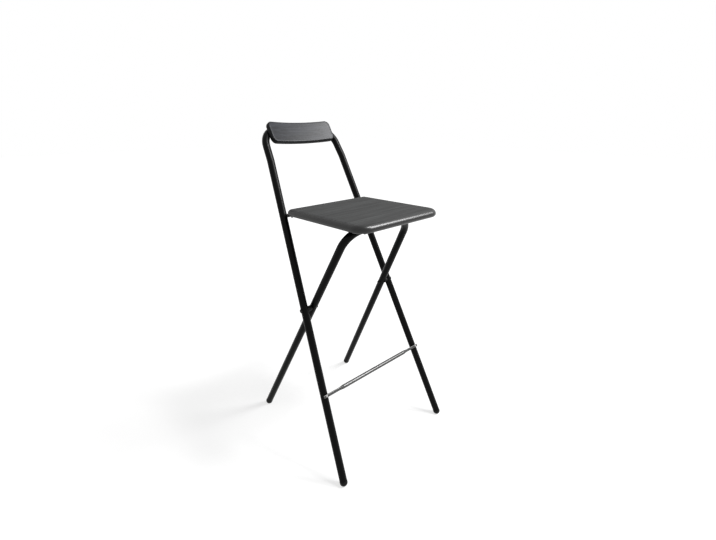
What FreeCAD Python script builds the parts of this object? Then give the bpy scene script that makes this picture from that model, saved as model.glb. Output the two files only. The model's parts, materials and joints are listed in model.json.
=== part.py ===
import FreeCAD, Part
import os
from math import sin, cos, tan, asin, atan, degrees, radians, sqrt, pi
from FreeCAD import Vector, Placement, Rotation
import Sketcher

# Folding bar stool: a splayed front frame that carries the backrest, a splayed rear-leg frame pivoted
# inside it, and a seat board that hangs on the rear-leg frame's crossbar and hooks over a rod at the back.
# Millimetres. X is across the stool, +Y is to the rear, +Z is up, and Z = 0 is the floor.

doc = FreeCAD.newDocument("folding_bar_stool")

# Driving dimensions, one plain number per cell.
SIZES = {
    "tube_dia": 22, "tube_wall": 1.5, "bend_radius": 55, "splay": 5,
    "foot_reach": 228.9, "front_lean": 25.5, "rear_lean": 27.3, "centre_offset": 10.7,
    "front_half_spread": 218.5, "knee_station": 952, "knee_angle": 6.5, "bow_rise": 98.5,
    "bow_bend_radius": 60, "bow_curve_radius": 420, "bow_set_back": 20,
    "frame_side_gap": 7.9, "rear_length": 793.4,
    "foot_dome_radius": 11.4, "foot_centre_height": 10.6, "foot_shoulder": 4, "foot_plug_length": 20,
    "weld_gap": 0.05, "running_gap": 0.3, "fit_gap": 0.05,
    "rod_dia": 10, "rod_rise": 10.4, "seat_rod_gap": 20,
    "pivot_bolt_dia": 8, "pivot_thread_dia": 6, "pivot_bush_dia": 10, "pivot_flange_dia": 16,
    "pivot_head_dia": 12, "pivot_head_height": 2, "pivot_head_round": 1.4, "pivot_barrel_length": 10,
    "seat_width": 307, "seat_front_reach": 87, "seat_thickness": 20, "seat_tilt": 1.4, "seat_lift": 15,
    "seat_front_corner": 38, "seat_rear_corner": 14, "seat_top_round": 9, "seat_under_round": 8,
    "saddle_station": 50, "saddle_width": 24, "saddle_thickness": 2.5, "saddle_ear": 17, "liner_drop": 10,
    "hook_inset": 34.5, "hook_thickness": 3, "hook_depth": 11, "hook_wall": 4.5, "hook_lip": 7,
    "hook_mouth_angle": 26, "hook_reach": 52, "hook_flange_width": 20, "hook_slot_gap": 0.4,
    "hook_edge_gap": 0.9, "hook_screw_inset": 8,
    "wood_screw_dia": 4, "wood_screw_head": 8, "wood_screw_dome": 2.2, "wood_screw_bite": 8,
    "pilot_depth": 13,
    "back_width": 222.5, "back_height": 64.5, "back_thickness": 16, "back_drop": 17,
    "back_corner": 16, "back_edge_round": 5, "back_screw_station": 45,
    "back_screw_bite": 10, "back_pilot_depth": 12,
    "footrest_dia": 12, "footrest_station": 261, "footrest_overhang": 8.3, "footrest_flat_length": 56,
    "footrest_taper": 14, "footrest_end_height": 9, "footrest_end_thickness": 4,
    "rivet_dia": 4, "rivet_head": 7, "rivet_dome": 1.8, "rivet_tail": 1,
}

sheet = doc.addObject("Spreadsheet::Sheet", "Sizes")
for row, (alias, number) in enumerate(SIZES.items(), start=1):
    sheet.set("A%d" % row, alias)
    sheet.set("B%d" % row, str(number))
    sheet.setAlias("B%d" % row, alias)
doc.recompute()


def size(alias):
    """The number that the sheet holds under this alias."""
    return float(sheet.get(alias))


# Places worked out from the driving dimensions.
tube_radius = size("tube_dia") / 2
bore_radius = tube_radius - size("tube_wall")
splay_slope = tan(radians(size("splay")))
front_foot = -size("foot_reach") - size("centre_offset")
rear_foot = size("foot_reach") - size("centre_offset")
front_place = Placement(Vector(0, front_foot, 0), Rotation(Vector(1, 0, 0), -size("front_lean")))
rear_place = Placement(Vector(0, rear_foot, 0), Rotation(Vector(1, 0, 0), size("rear_lean")))
lean_sum = tan(radians(size("front_lean"))) + tan(radians(size("rear_lean")))
pivot_height = (rear_foot - front_foot) / lean_sum
pivot_depth = front_foot + pivot_height * tan(radians(size("front_lean")))
front_pivot_station = pivot_height / cos(radians(size("front_lean")))
rear_pivot_station = pivot_height / cos(radians(size("rear_lean")))
crossbar = rear_place.multVec(Vector(0, 0, size("rear_length")))
tube_across = size("tube_dia") / cos(radians(size("splay")))
rear_half_spread = size("front_half_spread") - tube_across - size("frame_side_gap")
seat_place = Placement(crossbar, Rotation(Vector(1, 0, 0), -size("seat_tilt")))
finished = []

# The rod crosses the front frame at a set rise above the crossbar, and the seat stops short of it.
frame_foot_from_seat = seat_place.inverse().multVec(front_place.Base)
frame_climb = seat_place.inverse().Rotation.multVec(front_place.Rotation.multVec(Vector(0, 0, 1)))
rod_station = (size("rod_rise") - frame_foot_from_seat.z) / frame_climb.z
rod_axis = frame_foot_from_seat + frame_climb * rod_station
seat_rear_reach = rod_axis.y - size("seat_rod_gap")

# The front frame's uprights lean further back above the knee and end in the bow behind the backrest,
# whose middle is curved to the rear.
knee_lean = radians(size("knee_angle"))
bow_station = size("knee_station") + size("bow_rise") * cos(knee_lean)
bow_line = Placement(Vector(0, size("bow_rise") * sin(knee_lean), bow_station),
                     Rotation(Vector(1, 0, 0), -size("knee_angle")))
bow_corner = size("front_half_spread") - (size("knee_station") + size("bow_rise")) * splay_slope
bow_half_turn = atan(size("bow_set_back") / bow_corner)
curve_radius = size("bow_curve_radius")
bow_sag = size("bow_set_back") - curve_radius * (1 / cos(bow_half_turn) - 1)


def bow_spoke(across):
    """A place at the centre of the bow's curve, turned so that +Y meets the bow at this distance across."""
    turn = -degrees(asin(across / curve_radius))
    return bow_line.multiply(Placement(Vector(0, bow_sag - curve_radius, 0), Rotation(Vector(0, 0, 1), turn)))


def new_body(label, place=None):
    """A PartDesign body with its own label and placement."""
    body = doc.addObject("PartDesign::Body", label)
    body.Label = label
    if place is not None:
        body.Placement = place
    return body


def new_sketch(body, role, name):
    """A sketch on one of the body's own origin planes."""
    sketch = body.newObject("Sketcher::SketchObject", name)
    plane = [item for item in body.Origin.OriginFeatures if item.Role == role][0]
    sketch.AttachmentSupport = [(plane, "")]
    sketch.MapMode = "FlatFace"
    return sketch


def drive(sketch, index, expression):
    """Binds a sketch constraint to the sheet."""
    sketch.setExpression("Constraints[%d]" % index, expression)


def circle(sketch, across, up, radius, expressions=None):
    """A circle fixed by its centre and radius, with optional (across, up, radius) expressions."""
    ring = sketch.addGeometry(Part.Circle(Vector(across, up, 0), Vector(0, 0, 1), radius))
    marks = [
        sketch.addConstraint(Sketcher.Constraint("DistanceX", -1, 1, ring, 3, across)),
        sketch.addConstraint(Sketcher.Constraint("DistanceY", -1, 1, ring, 3, up)),
        sketch.addConstraint(Sketcher.Constraint("Radius", ring, radius)),
    ]
    for mark, expression in zip(marks, expressions or ()):
        if expression:
            drive(sketch, mark, expression)
    return ring


def polyline(sketch, points):
    """A closed outline of straight lines through the points."""
    lines = []
    for start, end in zip(points, points[1:] + points[:1]):
        lines.append(sketch.addGeometry(Part.LineSegment(Vector(*start, 0), Vector(*end, 0))))
    for line, after in zip(lines, lines[1:] + lines[:1]):
        sketch.addConstraint(Sketcher.Constraint("Coincident", line, 2, after, 1))
    return lines


def pad(body, sketch, expression, length, both=False, reverse=False):
    """A pad of the sketch, bound to the sheet."""
    feature = body.newObject("PartDesign::Pad", sketch.Name + "_pad")
    feature.Profile = sketch
    feature.Length = length
    if expression:
        feature.setExpression("Length", expression)
    feature.Midplane = both
    feature.Reversed = reverse
    doc.recompute()
    return feature


def bore_across(body, name, points, radius, length):
    """Round holes along X through the body, centred on its YZ plane."""
    sketch = new_sketch(body, "YZ_Plane", name)
    for depth, up in points:
        circle(sketch, depth, up, radius)
    cut = body.newObject("PartDesign::Pocket", name + "_cut")
    cut.Profile = sketch
    cut.Length = length
    cut.Midplane = True
    doc.recompute()
    return cut


def bore_through(body, name, points, radius):
    """Round holes along Y, right through the body."""
    sketch = new_sketch(body, "XZ_Plane", name)
    for across, up in points:
        circle(sketch, across, up, radius)
    cut = body.newObject("PartDesign::Pocket", name + "_cut")
    cut.Profile = sketch
    cut.Type = 1
    cut.Midplane = True
    doc.recompute()
    return cut


def finish(item):
    """Marks an object as a finished piece."""
    finished.append(item)
    return item


def solid_group(label, solids):
    """Identical separate solids under one label."""
    group = doc.addObject("Part::Feature", label)
    group.Label = label
    group.Shape = solids[0] if len(solids) == 1 else Part.makeCompound(solids)
    return finish(group)


def cut_away(label, base, tool, place=None):
    """The base with the tool object taken away."""
    cut = doc.addObject("Part::Cut", label)
    cut.Label = label
    cut.Base = base
    cut.Tool = tool
    if place is not None:
        cut.Placement = place
    doc.recompute()
    return cut


def drill(name, start, along, length, radius):
    """A cylinder to cut a hole with, whose radius is bound to the sheet."""
    tool = doc.addObject("Part::Cylinder", name)
    tool.setExpression("Radius", radius)
    tool.Height = length
    tool.Placement = Placement(start, Rotation(Vector(0, 0, 1), along))
    return tool


def flipped(point):
    """The point mirrored to the left side."""
    return Vector(-point.x, point.y, point.z)


def leg_point(place, half_spread, station, side):
    """A point on a leg's centre line, at a distance along the frame from the floor line."""
    return place.multVec(Vector(side * (half_spread - station * splay_slope), 0, station))


# The two bent tube frames


def leg_end_station(lean):
    """Where the square-cut end of a leg stops, so that the dome of its cap meets the floor."""
    centre = size("foot_centre_height") / cos(radians(size(lean)))
    return centre + size("foot_shoulder") * cos(radians(size("splay")))


def rounded_path(corners, bends):
    """A wire of straight runs through the corners, with a tangent bend of its own radius at each inner one."""
    edges = []
    last = corners[0]
    for before, corner, after, bend in zip(corners, corners[1:], corners[2:], bends):
        back = (before - corner).normalize()
        onward = (after - corner).normalize()
        turn = pi - back.getAngle(onward)
        reach = bend * tan(turn / 2)
        inward = (back + onward).normalize()
        top = corner + inward * (bend / cos(turn / 2) - bend)
        edges.append(Part.makeLine(last, corner + back * reach))
        edges.append(Part.Arc(corner + back * reach, top, corner + onward * reach).toShape())
        last = corner + onward * reach
    edges.append(Part.makeLine(last, corners[-1]))
    return Part.Wire(edges)


def swept_rod(label, path, start, along, radius):
    """A round rod along the path, its radius bound to the sheet."""
    ring = doc.addObject("Part::Circle", label + "_ring")
    ring.setExpression("Radius", radius)
    ring.Placement = Placement(start, Rotation(Vector(0, 0, 1), along))
    sweep = doc.addObject("Part::Sweep", label)
    sweep.Sections = [ring]
    sweep.Spine = (path, ["Edge%d" % (number + 1) for number in range(len(path.Shape.Edges))])
    sweep.Solid = True
    sweep.Frenet = False
    return sweep


def kneed_frame(label):
    """The front frame's hollow tube: splayed legs, knees below the backrest and the bow between them."""
    foot = leg_end_station("front_lean")
    foot_across = size("front_half_spread") - foot * splay_slope
    knee_across = size("front_half_spread") - size("knee_station") * splay_slope
    half = [Vector(foot_across, 0, foot), Vector(knee_across, 0, size("knee_station")),
            bow_line.multVec(Vector(bow_corner, 0, 0))]
    middle = bow_line.multVec(Vector(0, size("bow_set_back"), 0))
    corners = [flipped(point) for point in half] + [middle] + half[::-1]
    bends = [size("bend_radius"), size("bow_bend_radius")]
    path = doc.addObject("Part::Feature", label + "_path")
    path.Shape = rounded_path(corners, bends + [curve_radius] + bends[::-1])
    along = corners[1] - corners[0]
    outside = swept_rod(label + "_outside", path, corners[0], along, "Sizes.tube_dia / 2")
    inside = swept_rod(label + "_inside", path, corners[0], along, "Sizes.tube_dia / 2 - Sizes.tube_wall")
    doc.recompute()
    return cut_away(label + "_hollow", outside, inside)


def bent_frame(label, place, length, half_spread, lean):
    """A hollow tube bent into a splayed inverted U, drawn as one half and mirrored."""
    body = new_body(label, place)
    path = new_sketch(body, "XZ_Plane", label + "_path")
    angle = radians(size("splay"))
    bend = size("bend_radius")
    top = size(length)
    drop = bend * (1 - sin(angle))
    tangent_station = top - drop
    tangent_across = half_spread - tangent_station * splay_slope
    centre_across = tangent_across - bend * cos(angle)
    end_station = leg_end_station(lean)
    end_across = half_spread - end_station * splay_slope
    bar = path.addGeometry(Part.LineSegment(Vector(0, top, 0), Vector(centre_across, top, 0)))
    arc = path.addGeometry(Part.ArcOfCircle(
        Part.Circle(Vector(centre_across, top - bend, 0), Vector(0, 0, 1), bend), angle, radians(90)))
    leg = path.addGeometry(Part.LineSegment(
        Vector(tangent_across, tangent_station, 0), Vector(end_across, end_station, 0)))
    path.addConstraint(Sketcher.Constraint("PointOnObject", bar, 1, -2))
    path.addConstraint(Sketcher.Constraint("Horizontal", bar))
    path.addConstraint(Sketcher.Constraint("Tangent", bar, 2, arc, 2))
    path.addConstraint(Sketcher.Constraint("Tangent", arc, 1, leg, 1))
    radius_mark = path.addConstraint(Sketcher.Constraint("Radius", arc, bend))
    top_mark = path.addConstraint(Sketcher.Constraint("DistanceY", -1, 1, bar, 1, top))
    path.addConstraint(Sketcher.Constraint("DistanceY", -1, 1, leg, 2, end_station))
    path.addConstraint(Sketcher.Constraint("DistanceX", -1, 1, leg, 2, end_across))
    drive(path, radius_mark, "Sizes.bend_radius")
    drive(path, top_mark, "Sizes." + length)
    ring = new_sketch(body, "YZ_Plane", label + "_ring")
    circle(ring, 0, top, tube_radius, (None, "Sizes." + length, "Sizes.tube_dia / 2"))
    circle(ring, 0, top, bore_radius, (None, "Sizes." + length, "Sizes.tube_dia / 2 - Sizes.tube_wall"))
    doc.recompute()
    tube = body.newObject("PartDesign::AdditivePipe", label + "_bend")
    tube.Profile = ring
    tube.Spine = path
    doc.recompute()
    whole = body.newObject("PartDesign::Mirrored", label + "_whole")
    whole.Originals = [tube]
    plane = [item for item in body.Origin.OriginFeatures if item.Role == "YZ_Plane"][0]
    whole.MirrorPlane = (plane, [""])
    body.Tip = whole
    doc.recompute()
    return body


def across_drill(name, station, half_length, radius):
    """A drill along X, centred on the front frame."""
    return drill(name, Vector(-half_length, 0, station), Vector(1, 0, 0), 2 * half_length, radius)


bolt_hole = size("pivot_bolt_dia") / 2 + size("fit_gap")
rod_half_length = size("front_half_spread") - rod_station * splay_slope
footrest_leg_across = size("front_half_spread") - size("footrest_station") * splay_slope
drills = [
    across_drill("pivot_hole", front_pivot_station, size("front_half_spread"),
                 "Sizes.pivot_bolt_dia / 2 + Sizes.fit_gap"),
    across_drill("rod_hole", rod_station, rod_half_length, "Sizes.rod_dia / 2 + Sizes.weld_gap"),
]
for side in (-1, 1):
    spoke = bow_spoke(side * size("back_screw_station"))
    drills.append(drill("back_screw_hole", spoke.multVec(Vector(0, curve_radius - size("tube_dia"), 0)),
                        spoke.Rotation.multVec(Vector(0, 1, 0)), 2 * size("tube_dia"),
                        "Sizes.wood_screw_dia / 2 + Sizes.fit_gap"))
    rivet_start = Vector(side * footrest_leg_across, -size("tube_dia"), size("footrest_station"))
    drills.append(drill("rivet_hole", rivet_start, Vector(0, 1, 0), 2 * size("tube_dia"),
                        "Sizes.rivet_dia / 2 + Sizes.fit_gap"))
all_drills = doc.addObject("Part::Compound", "front_frame_drills")
all_drills.Links = drills
doc.recompute()
finish(cut_away("front_frame_tube", kneed_frame("front_frame"), all_drills, front_place))

rear_tube = bent_frame("rear_leg_tube", rear_place, "rear_length", rear_half_spread, "rear_lean")
bush_hole = size("pivot_bush_dia") / 2 + size("fit_gap")
bore_across(rear_tube, "bush_hole", [(0, rear_pivot_station)], bush_hole, 4 * rear_half_spread)
finish(rear_tube)


# Foot caps: a dome with a plug that fits the tube, and a small flat where it stands on the floor


def foot_cap(label, place, half_spread, lean, side):
    station = leg_end_station(lean)
    end = leg_point(place, half_spread, station, side)
    turn = Rotation(place.Rotation).multiply(Rotation(Vector(0, 1, 0), -side * size("splay")))
    body = new_body(label + "_turned", Placement(end, turn))
    dome = size("foot_dome_radius")
    shoulder = size("foot_shoulder")
    plug = bore_radius - size("fit_gap")
    sketch = new_sketch(body, "XZ_Plane", label + "_outline")
    arc = sketch.addGeometry(Part.ArcOfCircle(
        Part.Circle(Vector(0, -shoulder, 0), Vector(0, 0, 1), dome), radians(270), radians(360)))
    corners = [(dome, -shoulder), (dome, 0), (plug, 0), (plug, size("foot_plug_length")),
               (0, size("foot_plug_length")), (0, -shoulder - dome)]
    lines = []
    for start, stop in zip(corners[:-1], corners[1:]):
        lines.append(sketch.addGeometry(Part.LineSegment(Vector(*start, 0), Vector(*stop, 0))))
    sketch.addConstraint(Sketcher.Constraint("Coincident", arc, 2, lines[0], 1))
    for line, after in zip(lines, lines[1:]):
        sketch.addConstraint(Sketcher.Constraint("Coincident", line, 2, after, 1))
    sketch.addConstraint(Sketcher.Constraint("Coincident", lines[-1], 2, arc, 1))
    spin = body.newObject("PartDesign::Revolution", label + "_spin")
    spin.Profile = sketch
    spin.ReferenceAxis = (sketch, ["V_Axis"])
    spin.Angle = 360
    floor = doc.addObject("Part::Box", label + "_floor")
    span = 4 * dome
    floor.Length = floor.Width = floor.Height = span
    floor.Placement = Placement(Vector(end.x - span / 2, end.y - span / 2, -span), Rotation())
    doc.recompute()
    return finish(cut_away(label, body, floor))


for side, name in ((-1, "left"), (1, "right")):
    foot_cap("front_foot_cap_" + name, front_place, size("front_half_spread"), "front_lean", side)
    foot_cap("rear_foot_cap_" + name, rear_place, rear_half_spread, "rear_lean", side)


# Rod between the uprights that the seat's hooks rest on

rod = doc.addObject("Part::Cylinder", "seat_rest_rod")
rod.Label = "seat_rest_rod"
rod.setExpression("Radius", "Sizes.rod_dia / 2")
rod.Height = 2 * (rod_half_length - size("weld_gap"))
rod_centre = front_place.multVec(Vector(0, 0, rod_station))
rod.Placement = Placement(rod_centre - Vector(rod_half_length - size("weld_gap"), 0, 0),
                          Rotation(Vector(0, 1, 0), 90))
finish(rod)


# Pivots where the frames cross

along_splay = 1 / cos(radians(size("splay")))
front_across = size("front_half_spread") - front_pivot_station * splay_slope
rear_across = rear_half_spread - rear_pivot_station * splay_slope
flange_radius = size("pivot_flange_dia") / 2
edge_rise = flange_radius * splay_slope
front_outer = front_across + tube_radius * along_splay
front_inner = front_across - tube_radius * along_splay
rear_outer = rear_across + tube_radius * along_splay
rear_inner = rear_across - tube_radius * along_splay
pivot_middle = (front_inner + rear_outer) / 2
bush_end = rear_inner - edge_rise - size("fit_gap")


def across_cylinder(radius, start, length, side):
    """A cylinder on the pivot axis, from one distance off the middle outwards."""
    origin = Vector(side * start, pivot_depth, pivot_height)
    return Part.makeCylinder(radius, length, origin, Vector(side, 0, 0))


def coped(solid, place, half_spread, station, side):
    """The solid with a saddle cut into it that fits round one leg."""
    low = leg_point(place, half_spread, station - 2 * size("tube_dia"), side)
    high = leg_point(place, half_spread, station + 2 * size("tube_dia"), side)
    along = high - low
    return solid.cut(Part.makeCylinder(tube_radius + size("weld_gap"), along.Length, low, along))


def pivot_bush(side):
    """A flanged bush through the rear leg, with its flange saddled on the tube."""
    flange_length = pivot_middle - size("running_gap") / 2 - rear_across
    flange = across_cylinder(flange_radius, rear_across, flange_length, side)
    flange = coped(flange, rear_place, rear_half_spread, rear_pivot_station, side)
    sleeve_length = rear_across + flange_length - bush_end
    sleeve = across_cylinder(size("pivot_bush_dia") / 2, bush_end, sleeve_length, side)
    bore = across_cylinder(bolt_hole, bush_end, sleeve_length, side)
    return flange.fuse(sleeve).cut(bore).removeSplitter()


def pivot_spacer(side):
    """A spacer saddled on the front leg, with a flat face towards the bush."""
    start = pivot_middle + size("running_gap") / 2
    ring = across_cylinder(flange_radius, start, front_across - start, side)
    ring = coped(ring, front_place, size("front_half_spread"), front_pivot_station, side)
    bore = across_cylinder(bolt_hole, start, front_across - start, side)
    ring = ring.cut(bore)
    return max(ring.Solids, key=lambda solid: solid.Volume)


head_radius = size("pivot_head_dia") / 2
head_height = size("pivot_head_height")
head_seat = front_outer + head_radius * splay_slope
nut_face = bush_end - size("running_gap")
barrel_end = nut_face + size("pivot_barrel_length")


def low_head(start, far_end, side):
    """A flat round head whose outer rim is rounded."""
    head = across_cylinder(head_radius, start, head_height, side)
    rim = [edge for edge in head.Edges if abs(abs(edge.CenterOfMass.x) - far_end) < 0.01]
    return head.makeFillet(size("pivot_head_round"), rim[:1])


def pivot_bolt(side):
    """A smooth bolt with a low head outside the front leg and a thinner threaded end."""
    head = low_head(head_seat, head_seat + head_height, side)
    shank_start = barrel_end + size("fit_gap")
    shank = across_cylinder(size("pivot_bolt_dia") / 2, shank_start, head_seat - shank_start, side)
    thread_start = nut_face + size("fit_gap")
    thread = across_cylinder(size("pivot_thread_dia") / 2, thread_start, head_seat - thread_start, side)
    return head.fuse(shank).fuse(thread).removeSplitter()


def pivot_nut(side):
    """A cap nut inside the rear leg, whose barrel reaches into the bush."""
    cap = low_head(nut_face - head_height, nut_face - head_height, side)
    barrel = across_cylinder(size("pivot_bolt_dia") / 2, nut_face, size("pivot_barrel_length"), side)
    bore = across_cylinder(size("pivot_thread_dia") / 2 + size("fit_gap"), nut_face,
                           size("pivot_barrel_length"), side)
    return cap.fuse(barrel).removeSplitter().cut(bore)


solid_group("pivot_bushes", [pivot_bush(side) for side in (-1, 1)])
solid_group("pivot_spacers", [pivot_spacer(side) for side in (-1, 1)])
solid_group("pivot_bolts", [pivot_bolt(side) for side in (-1, 1)])
solid_group("pivot_cap_nuts", [pivot_nut(side) for side in (-1, 1)])


# Domed screws and rivets


def domed_fastener(head_radius, dome, shank_radius, shank_length):
    """A fastener along Z: the flat under its head at Z = 0, the shank going up from there."""
    ball_radius = (head_radius ** 2 + dome ** 2) / (2 * dome)
    ball = Part.makeSphere(ball_radius, Vector(0, 0, ball_radius - dome))
    head = ball.common(Part.makeCylinder(head_radius, dome, Vector(0, 0, -dome)))
    shank = Part.makeCylinder(shank_radius, shank_length)
    return head.fuse(shank).removeSplitter()


def wood_screw(place, grip):
    """A wood screw whose shank runs through the grip and bites into the board behind it."""
    screw = domed_fastener(size("wood_screw_head") / 2, size("wood_screw_dome"),
                           size("wood_screw_dia") / 2, grip + size("wood_screw_bite"))
    screw.Placement = place
    return screw


# Seat board

underside = size("seat_lift")
top_face = underside + size("seat_thickness")
seat_body = new_body("seat_board", seat_place)
side_view = new_sketch(seat_body, "YZ_Plane", "seat_side_view")
nose = -size("seat_front_reach")
outline = [(seat_rear_reach, underside), (seat_rear_reach, top_face), (nose, top_face), (nose, underside)]
lines = polyline(side_view, outline)
for kind, line in (("Vertical", 0), ("Horizontal", 1), ("Vertical", 2), ("Horizontal", 3)):
    side_view.addConstraint(Sketcher.Constraint(kind, lines[line]))
side_view.addConstraint(Sketcher.Constraint("DistanceX", -1, 1, lines[0], 1, seat_rear_reach))
marks = (
    ("DistanceY", (-1, 1, lines[0], 1), underside, "Sizes.seat_lift"),
    ("DistanceY", (lines[0], 1, lines[0], 2), size("seat_thickness"), "Sizes.seat_thickness"),
    ("DistanceX", (lines[2], 1, -1, 1), size("seat_front_reach"), "Sizes.seat_front_reach"),
)
for kind, ends, value, expression in marks:
    drive(side_view, side_view.addConstraint(Sketcher.Constraint(kind, *ends, value)), expression)
board = pad(seat_body, side_view, "Sizes.seat_width", size("seat_width"), both=True)


def upright_edges(shape, at_front):
    """The names of the board's corner edges at its front or its rear."""
    names = []
    limit = 0.5 * (nose + seat_rear_reach)
    for number, edge in enumerate(shape.Edges, start=1):
        first, last = edge.Vertexes[0].Point, edge.Vertexes[-1].Point
        stands = abs(first.x - last.x) < 0.01 and abs(first.y - last.y) < 0.01
        if stands and (first.y < limit) == at_front:
            names.append("Edge%d" % number)
    return names


def loop_edges(shape, height):
    """The names of the edges that lie in one level."""
    return ["Edge%d" % number for number, edge in enumerate(shape.Edges, start=1)
            if all(abs(vertex.Point.z - height) < 0.01 for vertex in edge.Vertexes)
            and abs(edge.CenterOfMass.z - height) < 0.01]


def round_off(body, base, names, alias, label):
    """A fillet on the named edges of the base, bound to the sheet."""
    rounding = body.newObject("PartDesign::Fillet", label)
    rounding.Base = (base, names)
    rounding.Radius = size(alias)
    rounding.setExpression("Radius", "Sizes." + alias)
    doc.recompute()
    return rounding


step = round_off(seat_body, board, upright_edges(board.Shape, False), "seat_rear_corner", "rear_corners")
step = round_off(seat_body, step, upright_edges(step.Shape, True), "seat_front_corner", "front_corners")
step = round_off(seat_body, step, loop_edges(step.Shape, top_face), "seat_top_round", "top_edge")
step = round_off(seat_body, step, loop_edges(step.Shape, underside), "seat_under_round", "under_edge")

# Screws under the seat: one pair per saddle strap and one pair per hook
saddle_screw_reach = tube_radius + size("running_gap") + size("saddle_thickness") + size("saddle_ear") / 2
saddle_spots = [(side * size("saddle_station"), way * saddle_screw_reach)
                for side in (-1, 1) for way in (-1, 1)]
hook_outer_face = size("seat_width") / 2 - size("hook_inset")
hook_inner_face = hook_outer_face - size("hook_thickness")
hook_flange_middle = hook_inner_face - size("hook_flange_width") / 2
hook_front = seat_rear_reach - size("hook_reach")
hook_flange_end = seat_rear_reach - size("seat_under_round")
hook_screw_ends = (hook_front + size("hook_screw_inset"), hook_flange_end - size("hook_screw_inset"))
hook_spots = [(side * hook_flange_middle, along) for side in (-1, 1) for along in hook_screw_ends]
screw_holes = new_sketch(seat_body, "XY_Plane", "screw_holes")
for across, along in saddle_spots + hook_spots:
    circle(screw_holes, across, along, size("wood_screw_dia") / 2 + size("fit_gap"))
pilot_holes = seat_body.newObject("PartDesign::Pocket", "screw_holes_cut")
pilot_holes.Profile = screw_holes
pilot_holes.Length = underside + size("pilot_depth")
pilot_holes.Reversed = True
doc.recompute()
finish(seat_body)


# Saddle straps that hold the seat on the crossbar, and their liners


def saddle_strap(label, side):
    """A bent strap: two ears flat under the board and a half loop round the crossbar."""
    body = new_body(label, seat_place)
    sketch = new_sketch(body, "YZ_Plane", label + "_profile")
    inner = tube_radius + size("running_gap")
    outer = inner + size("saddle_thickness")
    ear_low = underside - size("saddle_thickness")
    ear_end = outer + size("saddle_ear")
    bends = (
        Part.ArcOfCircle(Part.Circle(Vector(0, 0, 0), Vector(0, 0, 1), inner), radians(180), radians(360)),
        Part.ArcOfCircle(Part.Circle(Vector(0, 0, 0), Vector(0, 0, 1), outer), radians(180), radians(360)),
    )
    for bend in bends:
        sketch.addGeometry(bend)
    points = (
        [(inner, 0), (inner, underside), (ear_end, underside), (ear_end, ear_low), (outer, ear_low),
         (outer, 0)],
        [(-inner, 0), (-inner, underside), (-ear_end, underside), (-ear_end, ear_low), (-outer, ear_low),
         (-outer, 0)],
    )
    for chain in points:
        for start, stop in zip(chain, chain[1:]):
            sketch.addGeometry(Part.LineSegment(Vector(*start, 0), Vector(*stop, 0)))
    body.Placement = seat_place.multiply(Placement(Vector(side * size("saddle_station"), 0, 0), Rotation()))
    pad(body, sketch, "Sizes.saddle_width", size("saddle_width"), both=True)
    holes = new_sketch(body, "XY_Plane", label + "_holes")
    for way in (-1, 1):
        circle(holes, 0, way * saddle_screw_reach, size("wood_screw_dia") / 2 + size("fit_gap"))
    cut = body.newObject("PartDesign::Pocket", label + "_holes_cut")
    cut.Profile = holes
    cut.Type = 1
    cut.Midplane = True
    doc.recompute()
    return finish(body)


def saddle_liner(label, side):
    """A plastic liner between the crossbar and the board."""
    inner = tube_radius + size("running_gap")
    half = inner - size("fit_gap")
    low = underside - size("liner_drop")
    block = Part.makeBox(size("saddle_width"), 2 * half, underside - low,
                         Vector(side * size("saddle_station") - size("saddle_width") / 2, -half, low))
    reach = size("seat_width")
    channel = Part.makeCylinder(inner, 2 * reach, Vector(-reach, 0, 0), Vector(1, 0, 0))
    liner = doc.addObject("Part::Feature", label)
    liner.Label = label
    liner.Shape = block.cut(channel)
    liner.Placement = seat_place
    return finish(liner)


for side, name in ((-1, "left"), (1, "right")):
    saddle_strap("saddle_strap_" + name, side)
    saddle_liner("saddle_liner_" + name, side)


# Hooks that reach behind the seat's rear edge and over the rod


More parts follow.
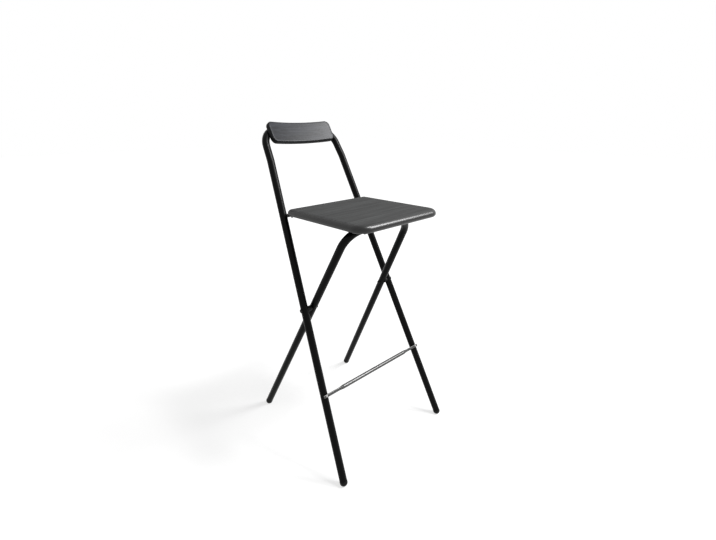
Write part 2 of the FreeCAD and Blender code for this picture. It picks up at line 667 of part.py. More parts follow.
def seat_hook(label, side):
    """A folded plate: a flange under the board and an upright web that ends in the hook."""
    inner_face = hook_inner_face
    thickness = size("hook_thickness")
    slot = size("rod_dia") / 2 + size("hook_slot_gap")
    outer = slot + size("hook_wall")
    angle = radians(size("hook_mouth_angle"))
    mouth = Vector(-sin(angle), -cos(angle), 0)
    across = Vector(cos(angle), -sin(angle), 0)
    centre = Vector(rod_axis.y, rod_axis.z, 0)
    low = underside - size("hook_depth")
    rear_edge = seat_rear_reach + size("hook_edge_gap")
    slot_rear = centre + across * slot
    slot_front = centre - across * slot
    lip_outer = centre + across * outer + mouth * size("hook_lip")
    lip_inner = slot_rear + mouth * size("hook_lip")
    web_end = slot_front + mouth * ((slot_front.y - low) / cos(angle))
    crown = centre + Vector(0, outer, 0)
    shoulder = centre + (across + Vector(0, 1, 0)).normalize() * outer
    body = new_body(label, seat_place)
    sketch = new_sketch(body, "YZ_Plane", label + "_profile")
    sketch.addGeometry(Part.Arc(slot_rear, centre - mouth * slot, slot_front))
    sketch.addGeometry(Part.Arc(centre + across * outer, shoulder, crown))
    points = [
        [slot_front, web_end, Vector(hook_front, low, 0), Vector(hook_front, underside, 0),
         Vector(rear_edge, underside, 0), Vector(rear_edge, crown.y, 0), crown],
        [centre + across * outer, lip_outer, lip_inner, slot_rear],
    ]
    for chain in points:
        for start, stop in zip(chain, chain[1:]):
            sketch.addGeometry(Part.LineSegment(start, stop))
    pad(body, sketch, "Sizes.hook_thickness", thickness)
    if side < 0:
        shift = Vector(-inner_face - thickness, 0, 0)
    else:
        shift = Vector(inner_face, 0, 0)
    body.Placement = seat_place.multiply(Placement(shift, Rotation()))
    flange = new_sketch(body, "XY_Plane", label + "_flange")
    fold = thickness if side < 0 else 0
    tip = thickness + size("hook_flange_width") if side < 0 else -size("hook_flange_width")
    polyline(flange, [(fold, hook_front), (tip, hook_front), (tip, hook_flange_end), (fold, hook_flange_end)])
    flange.AttachmentOffset = Placement(Vector(0, 0, underside - thickness), Rotation())
    pad(body, flange, "Sizes.hook_thickness", thickness)
    holes = new_sketch(body, "XY_Plane", label + "_holes")
    for across_spot, along in hook_spots:
        if across_spot * side > 0:
            circle(holes, across_spot - shift.x, along, size("wood_screw_dia") / 2 + size("fit_gap"))
    cut = body.newObject("PartDesign::Pocket", label + "_holes_cut")
    cut.Profile = holes
    cut.Type = 1
    cut.Midplane = True
    doc.recompute()
    return finish(body)


seat_hook("seat_hook_left", -1)
seat_hook("seat_hook_right", 1)


def seat_screw_group(label, spots, grip):
    """Screws that point up into the board through a plate of this thickness."""
    screws = []
    for across, along in spots:
        spot = seat_place.multiply(Placement(Vector(across, along, underside - grip), Rotation()))
        screws.append(wood_screw(spot, grip))
    return solid_group(label, screws)


seat_screw_group("saddle_screws", saddle_spots, size("saddle_thickness"))
seat_screw_group("hook_screws", hook_spots, size("hook_thickness"))


# Backrest board, curved to lie along the bow, and its screws through the bow

back_place = front_place.multiply(bow_spoke(0)).multiply(Placement(Vector(0, 0, -size("back_drop")), Rotation()))
back_body = new_body("backrest_blank", back_place)
plan = new_sketch(back_body, "XY_Plane", "backrest_plan")
rear_radius = curve_radius - tube_radius - size("weld_gap")
front_radius = rear_radius - size("back_thickness")
half_width = size("back_width") / 2
rear_corner = Vector(half_width, sqrt(rear_radius ** 2 - half_width ** 2), 0)
front_corner = rear_corner * (front_radius / rear_radius)
plan.addGeometry(Part.Arc(rear_corner, Vector(0, rear_radius, 0), flipped(rear_corner)))
plan.addGeometry(Part.Arc(front_corner, Vector(0, front_radius, 0), flipped(front_corner)))
plan.addGeometry(Part.LineSegment(rear_corner, front_corner))
plan.addGeometry(Part.LineSegment(flipped(rear_corner), flipped(front_corner)))
back_pad = pad(back_body, plan, "Sizes.back_height", size("back_height"), both=True)
corner_names = []
for number, edge in enumerate(back_pad.Shape.Edges, start=1):
    points = [vertex.Point for vertex in edge.Vertexes]
    across_board = abs(points[0].z - points[-1].z) < 0.01
    if across_board and abs((points[0] - points[-1]).Length - size("back_thickness")) < 0.01:
        corner_names.append("Edge%d" % number)
back_step = round_off(back_body, back_pad, corner_names, "back_corner", "backrest_corners")
face_names = []
for number, face in enumerate(back_step.Shape.Faces, start=1):
    if face.Surface.TypeId == "Part::GeomCylinder" and face.Surface.Radius > size("back_width"):
        face_names.append("Face%d" % number)
round_off(back_body, back_step, face_names, "back_edge_round", "backrest_edges")
pilots = []
back_screws = []
for side in (-1, 1):
    spoke = front_place.multiply(bow_spoke(side * size("back_screw_station")))
    inward = spoke.Rotation.multVec(Vector(0, -1, 0))
    pilot_length = tube_radius + size("back_pilot_depth")
    pilots.append(drill("back_pilot", spoke.multVec(Vector(0, curve_radius, 0)), inward, pilot_length,
                        "Sizes.wood_screw_dia / 2 + Sizes.fit_gap"))
    bite = 2 * tube_radius + size("weld_gap") + size("back_screw_bite")
    screw = domed_fastener(size("wood_screw_head") / 2, size("wood_screw_dome"), size("wood_screw_dia") / 2, bite)
    head_seat_depth = curve_radius + tube_radius
    screw.Placement = Placement(spoke.multVec(Vector(0, head_seat_depth, 0)), Rotation(Vector(0, 0, 1), inward))
    back_screws.append(screw)
all_pilots = doc.addObject("Part::Compound", "backrest_pilots")
all_pilots.Links = pilots
doc.recompute()
finish(cut_away("backrest_board", back_body, all_pilots))
solid_group("backrest_screws", back_screws)


# Footrest: a round bar with flattened ends, riveted to the front of the legs

footrest_depth = -(tube_radius + size("weld_gap") + size("footrest_end_thickness") / 2)
footrest_place = front_place.multiply(
    Placement(Vector(0, footrest_depth, size("footrest_station")), Rotation()))
footrest = new_body("footrest_bar", footrest_place)
half_length = footrest_leg_across + size("footrest_overhang")
flat_start = half_length - size("footrest_flat_length")
half_round = flat_start - size("footrest_taper")
round_section = new_sketch(footrest, "YZ_Plane", "footrest_round")
circle(round_section, 0, 0, size("footrest_dia") / 2, (None, None, "Sizes.footrest_dia / 2"))
pad(footrest, round_section, None, 2 * half_round, both=True)


def slot_outline(sketch, depth, height):
    """A flattened tube's outline: two flats joined by half circles."""
    radius = depth / 2
    straight = height / 2 - radius
    sketch.addGeometry(Part.ArcOfCircle(
        Part.Circle(Vector(0, straight, 0), Vector(0, 0, 1), radius), radians(0), radians(180)))
    sketch.addGeometry(Part.ArcOfCircle(
        Part.Circle(Vector(0, -straight, 0), Vector(0, 0, 1), radius), radians(180), radians(360)))
    for way in (-1, 1):
        sketch.addGeometry(Part.LineSegment(
            Vector(way * radius, -straight, 0), Vector(way * radius, straight, 0)))


for side, name in ((-1, "left"), (1, "right")):
    start_section = new_sketch(footrest, "YZ_Plane", "footrest_start_" + name)
    start_section.AttachmentOffset = Placement(Vector(0, 0, side * half_round), Rotation())
    circle(start_section, 0, 0, size("footrest_dia") / 2)
    end_section = new_sketch(footrest, "YZ_Plane", "footrest_end_" + name)
    end_section.AttachmentOffset = Placement(Vector(0, 0, side * flat_start), Rotation())
    slot_outline(end_section, size("footrest_end_thickness"), size("footrest_end_height"))
    doc.recompute()
    taper = footrest.newObject("PartDesign::AdditiveLoft", "footrest_taper_" + name)
    taper.Profile = start_section
    taper.Sections = [(end_section, [""])]
    doc.recompute()
    blade = new_sketch(footrest, "YZ_Plane", "footrest_blade_" + name)
    blade.AttachmentOffset = Placement(Vector(0, 0, side * flat_start), Rotation())
    slot_outline(blade, size("footrest_end_thickness"), size("footrest_end_height"))
    pad(footrest, blade, "Sizes.footrest_flat_length", size("footrest_flat_length"), reverse=side < 0)
bore_through(footrest, "footrest_rivet_hole", [(side * footrest_leg_across, 0) for side in (-1, 1)],
             size("rivet_dia") / 2 + size("fit_gap"))
finish(footrest)

rivets = []
rivet_face = footrest_depth - size("footrest_end_thickness") / 2
for side in (-1, 1):
    rivet_seat = Vector(side * footrest_leg_across, rivet_face, size("footrest_station"))
    spot = front_place.multiply(Placement(rivet_seat, Rotation(Vector(1, 0, 0), -90)))
    rivet = domed_fastener(size("rivet_head") / 2, size("rivet_dome"), size("rivet_dia") / 2,
                           tube_radius - rivet_face + size("rivet_tail"))
    rivet.Placement = spot
    rivets.append(rivet)
solid_group("footrest_rivets", rivets)


# Checks on the document, then one file per piece

doc.recompute()
for item in doc.Objects:
    if "Invalid" in item.State or "Error" in item.State:
        raise RuntimeError("bad object " + item.Label)
os.makedirs("parts", exist_ok=True)
for piece in finished:
    shape = piece.Shape
    if shape.isNull() or not shape.isValid() or not shape.Solids:
        raise RuntimeError("bad shape " + piece.Label)
    shape.exportStep("parts/%s.step" % piece.Label)
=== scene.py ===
import json
import math

import bmesh
import bpy
from mathutils import Matrix, Vector


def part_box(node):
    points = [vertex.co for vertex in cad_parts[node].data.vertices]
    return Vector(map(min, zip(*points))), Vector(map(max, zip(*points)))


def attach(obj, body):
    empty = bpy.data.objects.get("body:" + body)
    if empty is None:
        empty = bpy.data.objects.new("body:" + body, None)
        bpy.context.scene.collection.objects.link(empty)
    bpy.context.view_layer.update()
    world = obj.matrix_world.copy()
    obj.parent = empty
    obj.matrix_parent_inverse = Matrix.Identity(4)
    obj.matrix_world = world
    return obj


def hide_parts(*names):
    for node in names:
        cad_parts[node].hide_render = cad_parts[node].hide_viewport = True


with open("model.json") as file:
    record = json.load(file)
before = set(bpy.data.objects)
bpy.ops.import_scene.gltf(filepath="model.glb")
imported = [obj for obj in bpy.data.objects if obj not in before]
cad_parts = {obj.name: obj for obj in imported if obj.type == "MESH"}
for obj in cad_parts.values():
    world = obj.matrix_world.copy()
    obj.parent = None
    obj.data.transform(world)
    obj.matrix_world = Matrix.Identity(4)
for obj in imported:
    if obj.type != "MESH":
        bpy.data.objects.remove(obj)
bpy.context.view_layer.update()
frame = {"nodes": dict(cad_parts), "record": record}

# The scene shows the stool in the CAD frame, in metres. It makes the two boards anew and adds two weld
# beads. Every other CAD node shows as it is, in the material of its slot.

MM = 0.001
WHITE = (1, 1, 1, 1)
BACK_LEAN = math.radians(32)


def new_object(name, data):
    """An object in the scene, at the origin."""
    item = bpy.data.objects.new(name, data)
    bpy.context.scene.collection.objects.link(item)
    return item


# Camera: fitted to the photograph's tube edges, foot tips and seat outline

IMAGE_WIDTH = 716
FOCAL_PIXELS = 396.86
SENSOR_WIDTH = 36
CLIP_START = 0.01
CLIP_END = 100
CAMERA_PLACE = Vector((-0.75906, -0.86833, 0.98048))
CAMERA_AZIMUTH = math.radians(-43.15)
CAMERA_ELEVATION = math.radians(21.25)
CAMERA_ROLL = math.radians(0.32)
CAMERA_SHIFT = (-0.00047, 0.00044)


def make_camera():
    """The photograph's viewpoint."""
    data = bpy.data.cameras.new("photo_camera")
    data.sensor_width = SENSOR_WIDTH
    data.lens = FOCAL_PIXELS * SENSOR_WIDTH / IMAGE_WIDTH
    data.shift_x, data.shift_y = CAMERA_SHIFT
    data.clip_start = CLIP_START
    data.clip_end = CLIP_END
    camera = new_object("photo_camera", data)
    back = Vector((
        math.sin(CAMERA_AZIMUTH) * math.cos(CAMERA_ELEVATION),
        -math.cos(CAMERA_AZIMUTH) * math.cos(CAMERA_ELEVATION),
        math.sin(CAMERA_ELEVATION),
    ))
    right = Vector((math.cos(CAMERA_AZIMUTH), math.sin(CAMERA_AZIMUTH), 0))
    up = back.cross(right)
    turn = Matrix((right, up, back)).transposed().to_4x4()
    roll = Matrix.Rotation(CAMERA_ROLL, 4, "Z")
    camera.matrix_world = Matrix.Translation(CAMERA_PLACE) @ turn @ roll
    bpy.context.scene.camera = camera


# Node trees. Several sockets of a Mix node share a name, so those for colours go by number.

MIX_FACTOR = 0
MIX_COLOUR = 6
MIX_OTHER_COLOUR = 7
MIX_RESULT = 2


def grey(value, warmth=0.0):
    """A near-neutral colour, a little warm above zero and a little cool below."""
    return (value * (1 + warmth), value, value * (1 - warmth))


class Nodes:
    """The node tree of a material or world. Each method adds nodes and returns the output to go on from."""

    def __init__(self, owner, shader):
        owner.use_nodes = True
        self.owner = owner
        self.tree = owner.node_tree
        self.shader = self.tree.nodes[shader]

    def feed(self, socket, value):
        """Links an input to an output, or sets it to a value."""
        if isinstance(value, bpy.types.NodeSocket):
            self.tree.links.new(value, socket)
        else:
            socket.default_value = value

    def add(self, kind, inputs, **properties):
        """A node with its properties set and its inputs fed."""
        node = self.tree.nodes.new(kind)
        for key, value in properties.items():
            setattr(node, key, value)
        for key, value in inputs.items():
            self.feed(node.inputs[key], value)
        return node

    def coordinates(self, kind):
        """Each point's place on the object, or its normal."""
        return self.add("ShaderNodeTexCoord", {}).outputs[kind]

    def noise(self, waves, detail=4.0, roughness=0.55):
        """Noise with so many waves to a metre: one number, or one for each axis."""
        stretch = waves if isinstance(waves, tuple) else (waves, waves, waves)
        place = self.add("ShaderNodeMapping", {"Vector": self.coordinates("Object"), "Scale": stretch})
        inputs = {"Vector": place.outputs["Vector"], "Scale": 1.0, "Detail": detail, "Roughness": roughness}
        return self.add("ShaderNodeTexNoise", inputs).outputs["Fac"]

    def ramp(self, source, edges, dark, light):
        """Runs from a dark to a light colour as the source runs between two edges."""
        node = self.add("ShaderNodeValToRGB", {"Fac": source})
        for element, position, colour in zip(node.color_ramp.elements, edges, (dark, light)):
            element.position = position
            element.color = (*colour, 1)
        return node.outputs["Color"]

    def spread(self, source, low, high, edges=(0.0, 1.0)):
        """Runs from low to high as the source runs between two edges."""
        start, stop = edges
        inputs = {"Value": source, "From Min": start, "From Max": stop, "To Min": low, "To Max": high}
        return self.add("ShaderNodeMapRange", inputs).outputs["Result"]

    def join(self, operation, *values):
        """The result of a Math node."""
        node = self.add("ShaderNodeMath", dict(enumerate(values)), operation=operation)
        return node.outputs["Value"]

    def measure(self, operation, *vectors):
        """The number that a Vector Math node works out."""
        node = self.add("ShaderNodeVectorMath", dict(enumerate(vectors)), operation=operation)
        return node.outputs["Value"]

    def multiply(self, colour, other, share=1.0):
        """A colour multiplied by another one, by the given share."""
        inputs = {MIX_FACTOR: share, MIX_COLOUR: colour, MIX_OTHER_COLOUR: other}
        node = self.add("ShaderNodeMix", inputs, data_type="RGBA", blend_type="MULTIPLY")
        return node.outputs[MIX_RESULT]

    def bump(self, source, depth, strength, under=None):
        """A normal tilted by a relief of the given depth, over another normal where there is one."""
        inputs = {"Height": source, "Distance": depth, "Strength": strength}
        if under is not None:
            inputs["Normal"] = under
        return self.add("ShaderNodeBump", inputs).outputs["Normal"]

    def mottle(self, shade, waves, dark, light, edges=(0.3, 0.7)):
        """A near-neutral shade in soft patches. Dark and light are each a share of it and its warmth."""
        tones = [grey(shade * share, warmth) for share, warmth in (dark, light)]
        return self.ramp(self.noise(waves), edges, *tones)

    def facing(self, axis, edges):
        """1 on the large faces of a board and 0 where its rim turns away from them."""
        along = self.measure("DOT_PRODUCT", self.coordinates("Normal"), axis)
        return self.spread(self.join("ABSOLUTE", along), 0.0, 1.0, edges)

    def seen_rays(self):
        """1 for what is seen directly, in gloss or through glass, and 0 for the light that is cast."""
        path = self.add("ShaderNodeLightPath", {}).outputs
        direct_or_glossy = self.join("MAXIMUM", path["Is Camera Ray"], path["Is Glossy Ray"])
        return self.join("MAXIMUM", direct_or_glossy, path["Is Transmission Ray"])

    def wire(self, **inputs):
        """Feeds the shader, and returns the finished material or world."""
        for key, value in inputs.items():
            self.feed(self.shader.inputs[key.replace("_", " ")], value)
        return self.owner


def material_nodes(name):
    """The node tree of a new material."""
    return Nodes(bpy.data.materials.new(name), "Principled BSDF")


# Materials of metal and plastic


def powder_coat(name, shade, roughness, specular):
    """Smooth sprayed paint on metal, with a faint orange peel."""
    n = material_nodes(name)
    tone = n.mottle(shade, waves=14, dark=(0.8, -0.04), light=(1.25, -0.02), edges=(0.3, 0.75))
    worn = n.spread(n.noise(waves=45), low=roughness - 0.05, high=roughness + 0.07)
    peel = n.bump(n.noise(waves=900, detail=2.0), depth=0.04 * MM, strength=0.5)
    return n.wire(Base_Color=tone, Roughness=worn, Normal=peel, Specular_IOR_Level=specular)


def bare_steel(name, shade, roughness):
    """Drawn steel bar, with fine lines along its length."""
    n = material_nodes(name)
    tone = n.mottle(shade, waves=30, dark=(0.82, 0.01), light=(1.1, 0.0))
    lines = n.noise(waves=(6, 700, 700), detail=2.0)
    rough = n.spread(lines, low=roughness - 0.06, high=roughness + 0.12)
    drawn = n.bump(lines, depth=0.05 * MM, strength=0.4)
    return n.wire(Base_Color=tone, Metallic=1.0, Roughness=rough, Normal=drawn)


def zinc(name, shade):
    """Zinc-plated fasteners."""
    n = material_nodes(name)
    tone = n.mottle(shade, waves=260, dark=(0.8, 0.0), light=(1.15, 0.02))
    rough = n.spread(n.noise(waves=180), low=0.25, high=0.42)
    return n.wire(Base_Color=tone, Metallic=1.0, Roughness=rough)


def moulded_plastic(name, shade, roughness, specular):
    """Moulded plastic with a fine spark-eroded skin."""
    n = material_nodes(name)
    tone = n.mottle(shade, waves=60, dark=(0.85, 0.0), light=(1.2, 0.02))
    skin = n.bump(n.noise(waves=2600, detail=1.0), depth=0.05 * MM, strength=0.6)
    return n.wire(Base_Color=tone, Roughness=roughness, Normal=skin, Specular_IOR_Level=specular)


# Material of the stained boards. Their grain runs across the stool, so its waves are long along X.

CLOUD_WAVES = (3, 22, 22)
CLOUD_EDGES = (0.30, 0.72)
CLOUD_DARK = 0.80
CLOUD_LIGHT = 1.30

BAND_WAVES = (5, 150, 150)
BAND_EDGES = (0.36, 0.62)
BAND_DARK = 0.30
BAND_DEPTH = 0.5 * MM

PORE_WAVES = (12, 520, 520)
PORE_EDGES = (0.32, 0.52)
PORE_DARK = 0.50
PORE_SHARE = 0.8
PORE_DEPTH = 0.16 * MM
PORE_GLOSS = 0.06


def stained_board(name, shade, tint, specular, roughness, painted_rim_shade, rim_roughness, axis, edges):
    """Dark stained board with a brushed grain. Its rim has its own roughness, and is darkened to a share of
    the face's tone as painted shade.
    """
    n = material_nodes(name)
    flat = n.facing(axis, edges)
    clouds = n.noise(CLOUD_WAVES)
    bands = n.noise(BAND_WAVES, detail=5.0, roughness=0.7)
    pores = n.noise(PORE_WAVES, detail=3.0, roughness=0.6)
    dark, light = [[shade * share * part for part in tint] for share in (CLOUD_DARK, CLOUD_LIGHT)]
    tone = n.ramp(clouds, CLOUD_EDGES, dark, light)
    tone = n.multiply(tone, n.ramp(bands, BAND_EDGES, grey(BAND_DARK), grey(1.0)))
    tone = n.multiply(tone, n.ramp(pores, PORE_EDGES, grey(PORE_DARK), grey(1.0)), PORE_SHARE)
    # Painted shade: the rim is darkened to a share of the face's tone, standing in for the shade and dark
    # reflections on the rims.
    tone = n.multiply(tone, n.spread(flat, painted_rim_shade, 1.0))
    rough = n.spread(flat, rim_roughness, roughness)
    rough = n.join("ADD", rough, n.spread(pores, PORE_GLOSS, -PORE_GLOSS))
    grain = n.bump(pores, PORE_DEPTH, strength=0.25)
    grain = n.bump(bands, BAND_DEPTH, strength=0.08, under=grain)
    return n.wire(Base_Color=tone, Roughness=rough, Normal=grain, Specular_IOR_Level=specular)


# The axis is square to a board's faces. The rim's look, with its painted shade, turns into theirs between
# the two cosines.

SEAT_FINISH = {
    "shade": 0.035,
    "tint": (0.97, 1.0, 1.0),
    "specular": 0.45,
    "roughness": 1.0,
    # painted shade on the rim, as a share of the face's tone
    "painted_rim_shade": 0.1,
    "rim_roughness": 0.34,
    "axis": (0, 0, 1),
    "edges": (0.90, 0.985),
}
BACK_FINISH = {
    "shade": 0.024,
    "tint": (0.88, 0.95, 1.20),
    "specular": 0.16,
    "roughness": 0.34,
    # painted shade on the rim, as a share of the face's tone
    "painted_rim_shade": 0.1,
    "rim_roughness": 0.6,
    "axis": (0, -math.cos(BACK_LEAN), math.sin(BACK_LEAN)),
    "edges": (0.80, 0.93),
}

MATERIALS = {
    "black_tube": powder_coat("black_powder_coat", shade=0.0015, roughness=0.30, specular=0.08),
    "black_bracket": powder_coat("black_bracket_paint", shade=0.006, roughness=0.42, specular=0.10),
    "black_fastener": powder_coat("blackened_steel", shade=0.008, roughness=0.38, specular=0.12),
    "seat_wood": stained_board("seat_stained_board", **SEAT_FINISH),
    "back_wood": stained_board("back_stained_board", **BACK_FINISH),
    "bare_steel": bare_steel("satin_bare_steel", shade=0.09, roughness=0.34),
    "bright_steel": zinc("zinc_plate", shade=0.30),
    "black_plastic": moulded_plastic("black_moulded_plastic", shade=0.006, roughness=0.45, specular=0.12),
}


def dress_nodes():
    """Gives every CAD node the material of its record slot."""
    slots = {row["node"]: row["material_slot"] for row in frame["record"]["subparts"]}
    for name, node in frame["nodes"].items():
        node.data.materials.clear()
        node.data.materials.append(MATERIALS[slots[name]])


def dress(piece, slot, body, *nodes):
    """Gives a piece the material of its slot and its body, and hides the nodes that it stands for."""
    piece.data.materials.append(MATERIALS[slot])
    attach(piece, body)
    if nodes:
        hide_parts(*nodes)


# Meshes of the pieces


def skin(work, rings):
    """Joins each closed ring of vertices to the next one with quads."""
    for ring, following in zip(rings, rings[1:]):
        for k in range(len(ring)):
            after = (k + 1) % len(ring)
            work.faces.new((ring[k], ring[after], following[after], following[k]))


def finish_piece(name, work):
    """A smooth-shaded object made from a finished mesh, which holds its place."""
    bmesh.ops.recalc_face_normals(work, faces=work.faces)
    mesh = bpy.data.meshes.new(name)
    work.to_mesh(mesh)
    work.free()
    mesh.polygons.foreach_set("use_smooth", [True] * len(mesh.polygons))
    return new_object(name, mesh)


# Boards: closed meshes with rounded corners and rims, bent where the board is curved

RIM_STEPS = 8
CORNER_STEPS = 12
ROW_STEPS = 40
SIDE_STEPS = 24


def arc_points(centre, radius, start, stop, steps):
    """Points on an arc between two angles in degrees."""
    turns = [math.radians(start + (stop - start) * k / steps) for k in range(steps + 1)]
    return [(centre[0] + radius * math.cos(t), centre[1] + radius * math.sin(t)) for t in turns]


def between(start, stop, steps):
    """Evenly spaced points after the start and before the stop."""
    return [tuple(a + (b - a) * k / steps for a, b in zip(start, stop)) for k in range(1, steps)]


def board_outline(half, near, far, inset):
    """The four sides of a board as (across, along) points: far, right, near and left, one way round.
    The right and left sides hold the corners, whose near and far radii shrink with the inset."""
    across = half[0] - inset
    along = half[1] - inset
    near -= inset
    far -= inset
    far_corner = arc_points((across - far, along - far), far, 90, 0, CORNER_STEPS)
    near_corner = arc_points((across - near, near - along), near, 0, -90, CORNER_STEPS)
    right = far_corner + between(far_corner[-1], near_corner[0], SIDE_STEPS) + near_corner
    left = [(-x, y) for x, y in reversed(right)]
    far_side = between(left[-1], right[0], ROW_STEPS)
    near_side = between(right[-1], left[0], ROW_STEPS)
    return far_side, right, near_side, left


def rim_levels(thickness, upper_round, lower_round):
    """(inset, depth) of each ring from the face, round both edges, to the back."""
    quarter = arc_points((1, 1), 1, -90, -180, RIM_STEPS)
    upper = [(upper_round * inset, upper_round * depth) for inset, depth in quarter]
    lower = [(lower_round * inset, thickness - lower_round * depth) for inset, depth in reversed(quarter)]
    return upper + lower


def fill(work, sides):
    """Closes the ring of a board's four sides with rows of quads that run across it."""
    far, right, near, left = sides
    left = left[::-1]
    rows = [[left[0], *far, right[0]]]
    for first, last in zip(left[1:-1], right[1:-1]):
        inner = [work.verts.new(first.co.lerp(last.co, k / ROW_STEPS)) for k in range(1, ROW_STEPS)]
        rows.append([first, *inner, last])
    rows.append([left[-1], *near[::-1], right[-1]])
    for row, following in zip(rows, rows[1:]):
        for k in range(ROW_STEPS):
            work.faces.new((row[k], following[k], following[k + 1], row[k + 1]))


def bend(work, radius):
    """Bends a board about Y, so that its ends rise."""
    for vertex in work.verts:
        turn = vertex.co.x / radius
        arm = radius - vertex.co.z
        vertex.co = Vector((arm * math.sin(turn), vertex.co.y, radius - arm * math.cos(turn)))


def make_board(name, place, half, corners, thickness, rounds, bend_radius=None):
    """A board across X and along Y, with its face at Z = 0 and its back below, bent and put in place."""
    work = bmesh.new()
    rings = []
    for inset, depth in rim_levels(thickness, *rounds):
        outline = board_outline(half, *corners, inset)
        rings.append([[work.verts.new((x, y, -depth)) for x, y in side] for side in outline])
    skin(work, [sum(sides, []) for sides in rings])
    fill(work, rings[0])
    fill(work, rings[-1])
    if bend_radius is not None:
        bend(work, bend_radius)
    work.transform(place)
    return finish_piece(name, work)


# Half sizes are across and along, corners near and far, and rounds at the face and the back

SEAT_TILT = math.radians(1.4)
SEAT_HALF = (153.5 * MM, 155.6 * MM)
SEAT_CORNERS = (38 * MM, 14 * MM)
SEAT_THICKNESS = 20 * MM
SEAT_ROUNDS = (12.5 * MM, 7.4 * MM)


def make_seat():
    """The seat board, whose upper rim is rounded more than its lower one."""
    low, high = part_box("seat_board")
    tilt = Matrix.Rotation(-SEAT_TILT, 4, "X")
    face = (low + high) / 2 + tilt.to_3x3() @ Vector((0, 0, SEAT_THICKNESS / 2))
    place = Matrix.Translation(face) @ tilt
    seat = make_board("seat_top_board", place, SEAT_HALF, SEAT_CORNERS, SEAT_THICKNESS, SEAT_ROUNDS)
    dress(seat, "seat_wood", "seat", "seat_board")


BACK_FACE_MIDDLE = Vector((0, 202.0, 933.6)) * MM
BACK_HALF = (114.2 * MM, 33.2 * MM)
BACK_CORNERS = (16 * MM, 16 * MM)
BACK_THICKNESS = 16 * MM
BACK_ROUNDS = (5 * MM, 5 * MM)
BACK_BEND_RADIUS = 640 * MM


def make_backrest():
    """The backrest board, a little less curved than the bow, which beds into its back near the ends."""
    stand = Matrix.Rotation(math.radians(90) - BACK_LEAN, 4, "X")
    place = Matrix.Translation(BACK_FACE_MIDDLE) @ stand
    back = make_board("backrest_curved_board", place, BACK_HALF, BACK_CORNERS, BACK_THICKNESS, BACK_ROUNDS,
                      BACK_BEND_RADIUS)
    dress(back, "back_wood", "front_frame", "backrest_board")


# Weld beads where the seat rest rod meets the two uprights

TUBE_RADIUS = 11 * MM
LEG_SPLAY = math.radians(5)
FRONT_LEAN = math.radians(25.5)
ROD_END_GAP = 0.05 * MM
BEAD_RADIUS = 1.3 * MM
BEAD_STEPS = 96
BEAD_SIDES = 10
BEAD_RIPPLES = 20
BEAD_RIPPLE_SHARE = 0.12


def ring_directions(first, second, steps):
    """Unit vectors all the way round, from the first direction towards the second."""
    turns = [math.tau * k / steps for k in range(steps)]
    return [math.cos(turn) * first + math.sin(turn) * second for turn in turns]


def bead_path(side):
    """Points where the rod's surface runs into a tube's, each with its direction away from the rod's axis.
    The rod stops at a small gap from the tube's axis. Along each line of the rod's surface, the step from
    that axis to the tube's surface is a root of a quadratic: the one on the rod's side."""
    low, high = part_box("seat_rest_rod")
    middle = (low + high) / 2
    rod_radius = (high.z - low.z) / 2
    tube_axis_x = side * (high.x + ROD_END_GAP)
    along = Vector((
        -side * math.sin(LEG_SPLAY),
        math.cos(LEG_SPLAY) * math.sin(FRONT_LEAN),
        math.cos(LEG_SPLAY) * math.cos(FRONT_LEAN),
    ))
    square = 1 - along.x ** 2
    points = []
    for outward in ring_directions(Vector((0, 1, 0)), Vector((0, 0, 1)), BEAD_STEPS):
        reach = rod_radius * outward.dot(along)
        constant = TUBE_RADIUS ** 2 - rod_radius ** 2 + reach ** 2
        root = math.sqrt((along.x * reach) ** 2 + square * constant)
        step = (along.x * reach - side * root) / square
        points.append((Vector((tube_axis_x + step, middle.y, middle.z)) + rod_radius * outward, outward))
    return points


def make_weld(name, side):
    """A rippled bead round one end of the rod."""
    work = bmesh.new()
    inward = Vector((-side, 0, 0))
    rings = []
    for k, (point, outward) in enumerate(bead_path(side)):
        size = BEAD_RADIUS * (1 + BEAD_RIPPLE_SHARE * math.sin(math.tau * BEAD_RIPPLES * k / BEAD_STEPS))
        ring = ring_directions(outward, inward, BEAD_SIDES)
        rings.append([work.verts.new(point + size * direction) for direction in ring])
    skin(work, rings + rings[:1])
    dress(finish_piece(name, work), "black_tube", "front_frame")


# Stage: floor, world and lamps. The floor grows whiter between two distances from the stool.

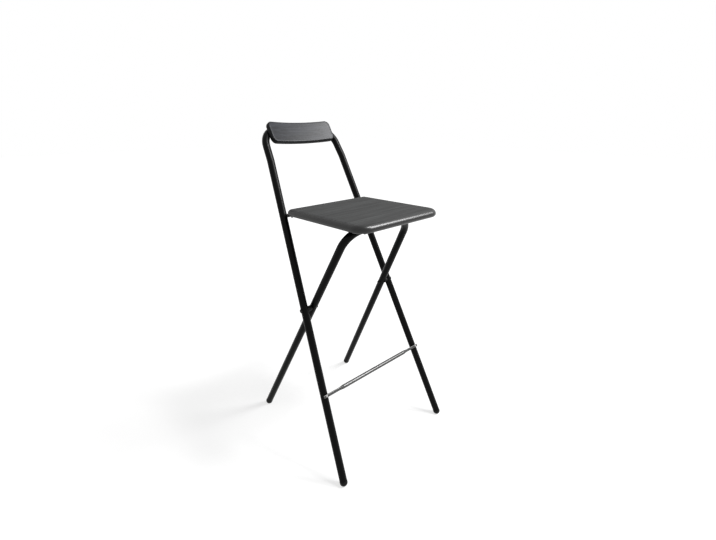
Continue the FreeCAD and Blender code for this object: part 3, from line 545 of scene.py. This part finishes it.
FLOOR_HALF = 12.0
FLOOR_CORNERS = ((-1, -1), (1, -1), (1, 1), (-1, 1))
FLOOR_SHADE = 0.35
FLOOR_LIFT = 0.73
FLOOR_FADE = (0.5, 1.7)
AMBIENT = 0.2


def make_floor():
    """A pale floor that renders white and keeps the stool's soft shadow."""
    mesh = bpy.data.meshes.new("floor")
    mesh.from_pydata([(x * FLOOR_HALF, y * FLOOR_HALF, 0) for x, y in FLOOR_CORNERS], [], [(0, 1, 2, 3)])
    floor = new_object("floor", mesh)
    n = material_nodes("pale_floor")
    tone = n.mottle(FLOOR_SHADE, waves=3, dark=(0.98, 0.0), light=(1.02, 0.0))
    distance = n.measure("LENGTH", n.coordinates("Object"))
    glow = n.join("MULTIPLY", n.seen_rays(), n.spread(distance, FLOOR_LIFT, 1.0, FLOOR_FADE))
    mesh.materials.append(n.wire(Base_Color=tone, Roughness=0.9, Specular_IOR_Level=0.1,
                                 Emission_Color=WHITE, Emission_Strength=glow))


def make_world():
    """A white background, with a softer level for the light that it casts."""
    n = Nodes(bpy.data.worlds.new("studio"), "Background")
    bpy.context.scene.world = n.wire(Color=WHITE, Strength=n.spread(n.seen_rays(), AMBIENT, 1.0))


def area_lamp(name, place, aim, size, power):
    """A soft rectangular lamp that points at a spot."""
    data = bpy.data.lights.new(name, "AREA")
    data.shape = "RECTANGLE"
    data.size, data.size_y = size
    data.energy = power
    lamp = new_object(name, data)
    lamp.location = place
    lamp.rotation_mode = "QUATERNION"
    lamp.rotation_quaternion = (Vector(aim) - Vector(place)).to_track_quat("-Z", "Y")


make_camera()
make_world()
make_floor()
area_lamp("key_right", place=(1.6, -1.4, 2.35), aim=(0, 0, 0.8), size=(0.7, 1.0), power=80)
area_lamp("front_top", place=(0.8, -1.1, 2.8), aim=(0, 0.1, 0.9), size=(0.35, 0.35), power=44)
dress_nodes()
make_seat()
make_backrest()
make_weld("rod_weld_left", -1)
make_weld("rod_weld_right", 1)

bpy.context.scene.view_settings.view_transform = "Standard"
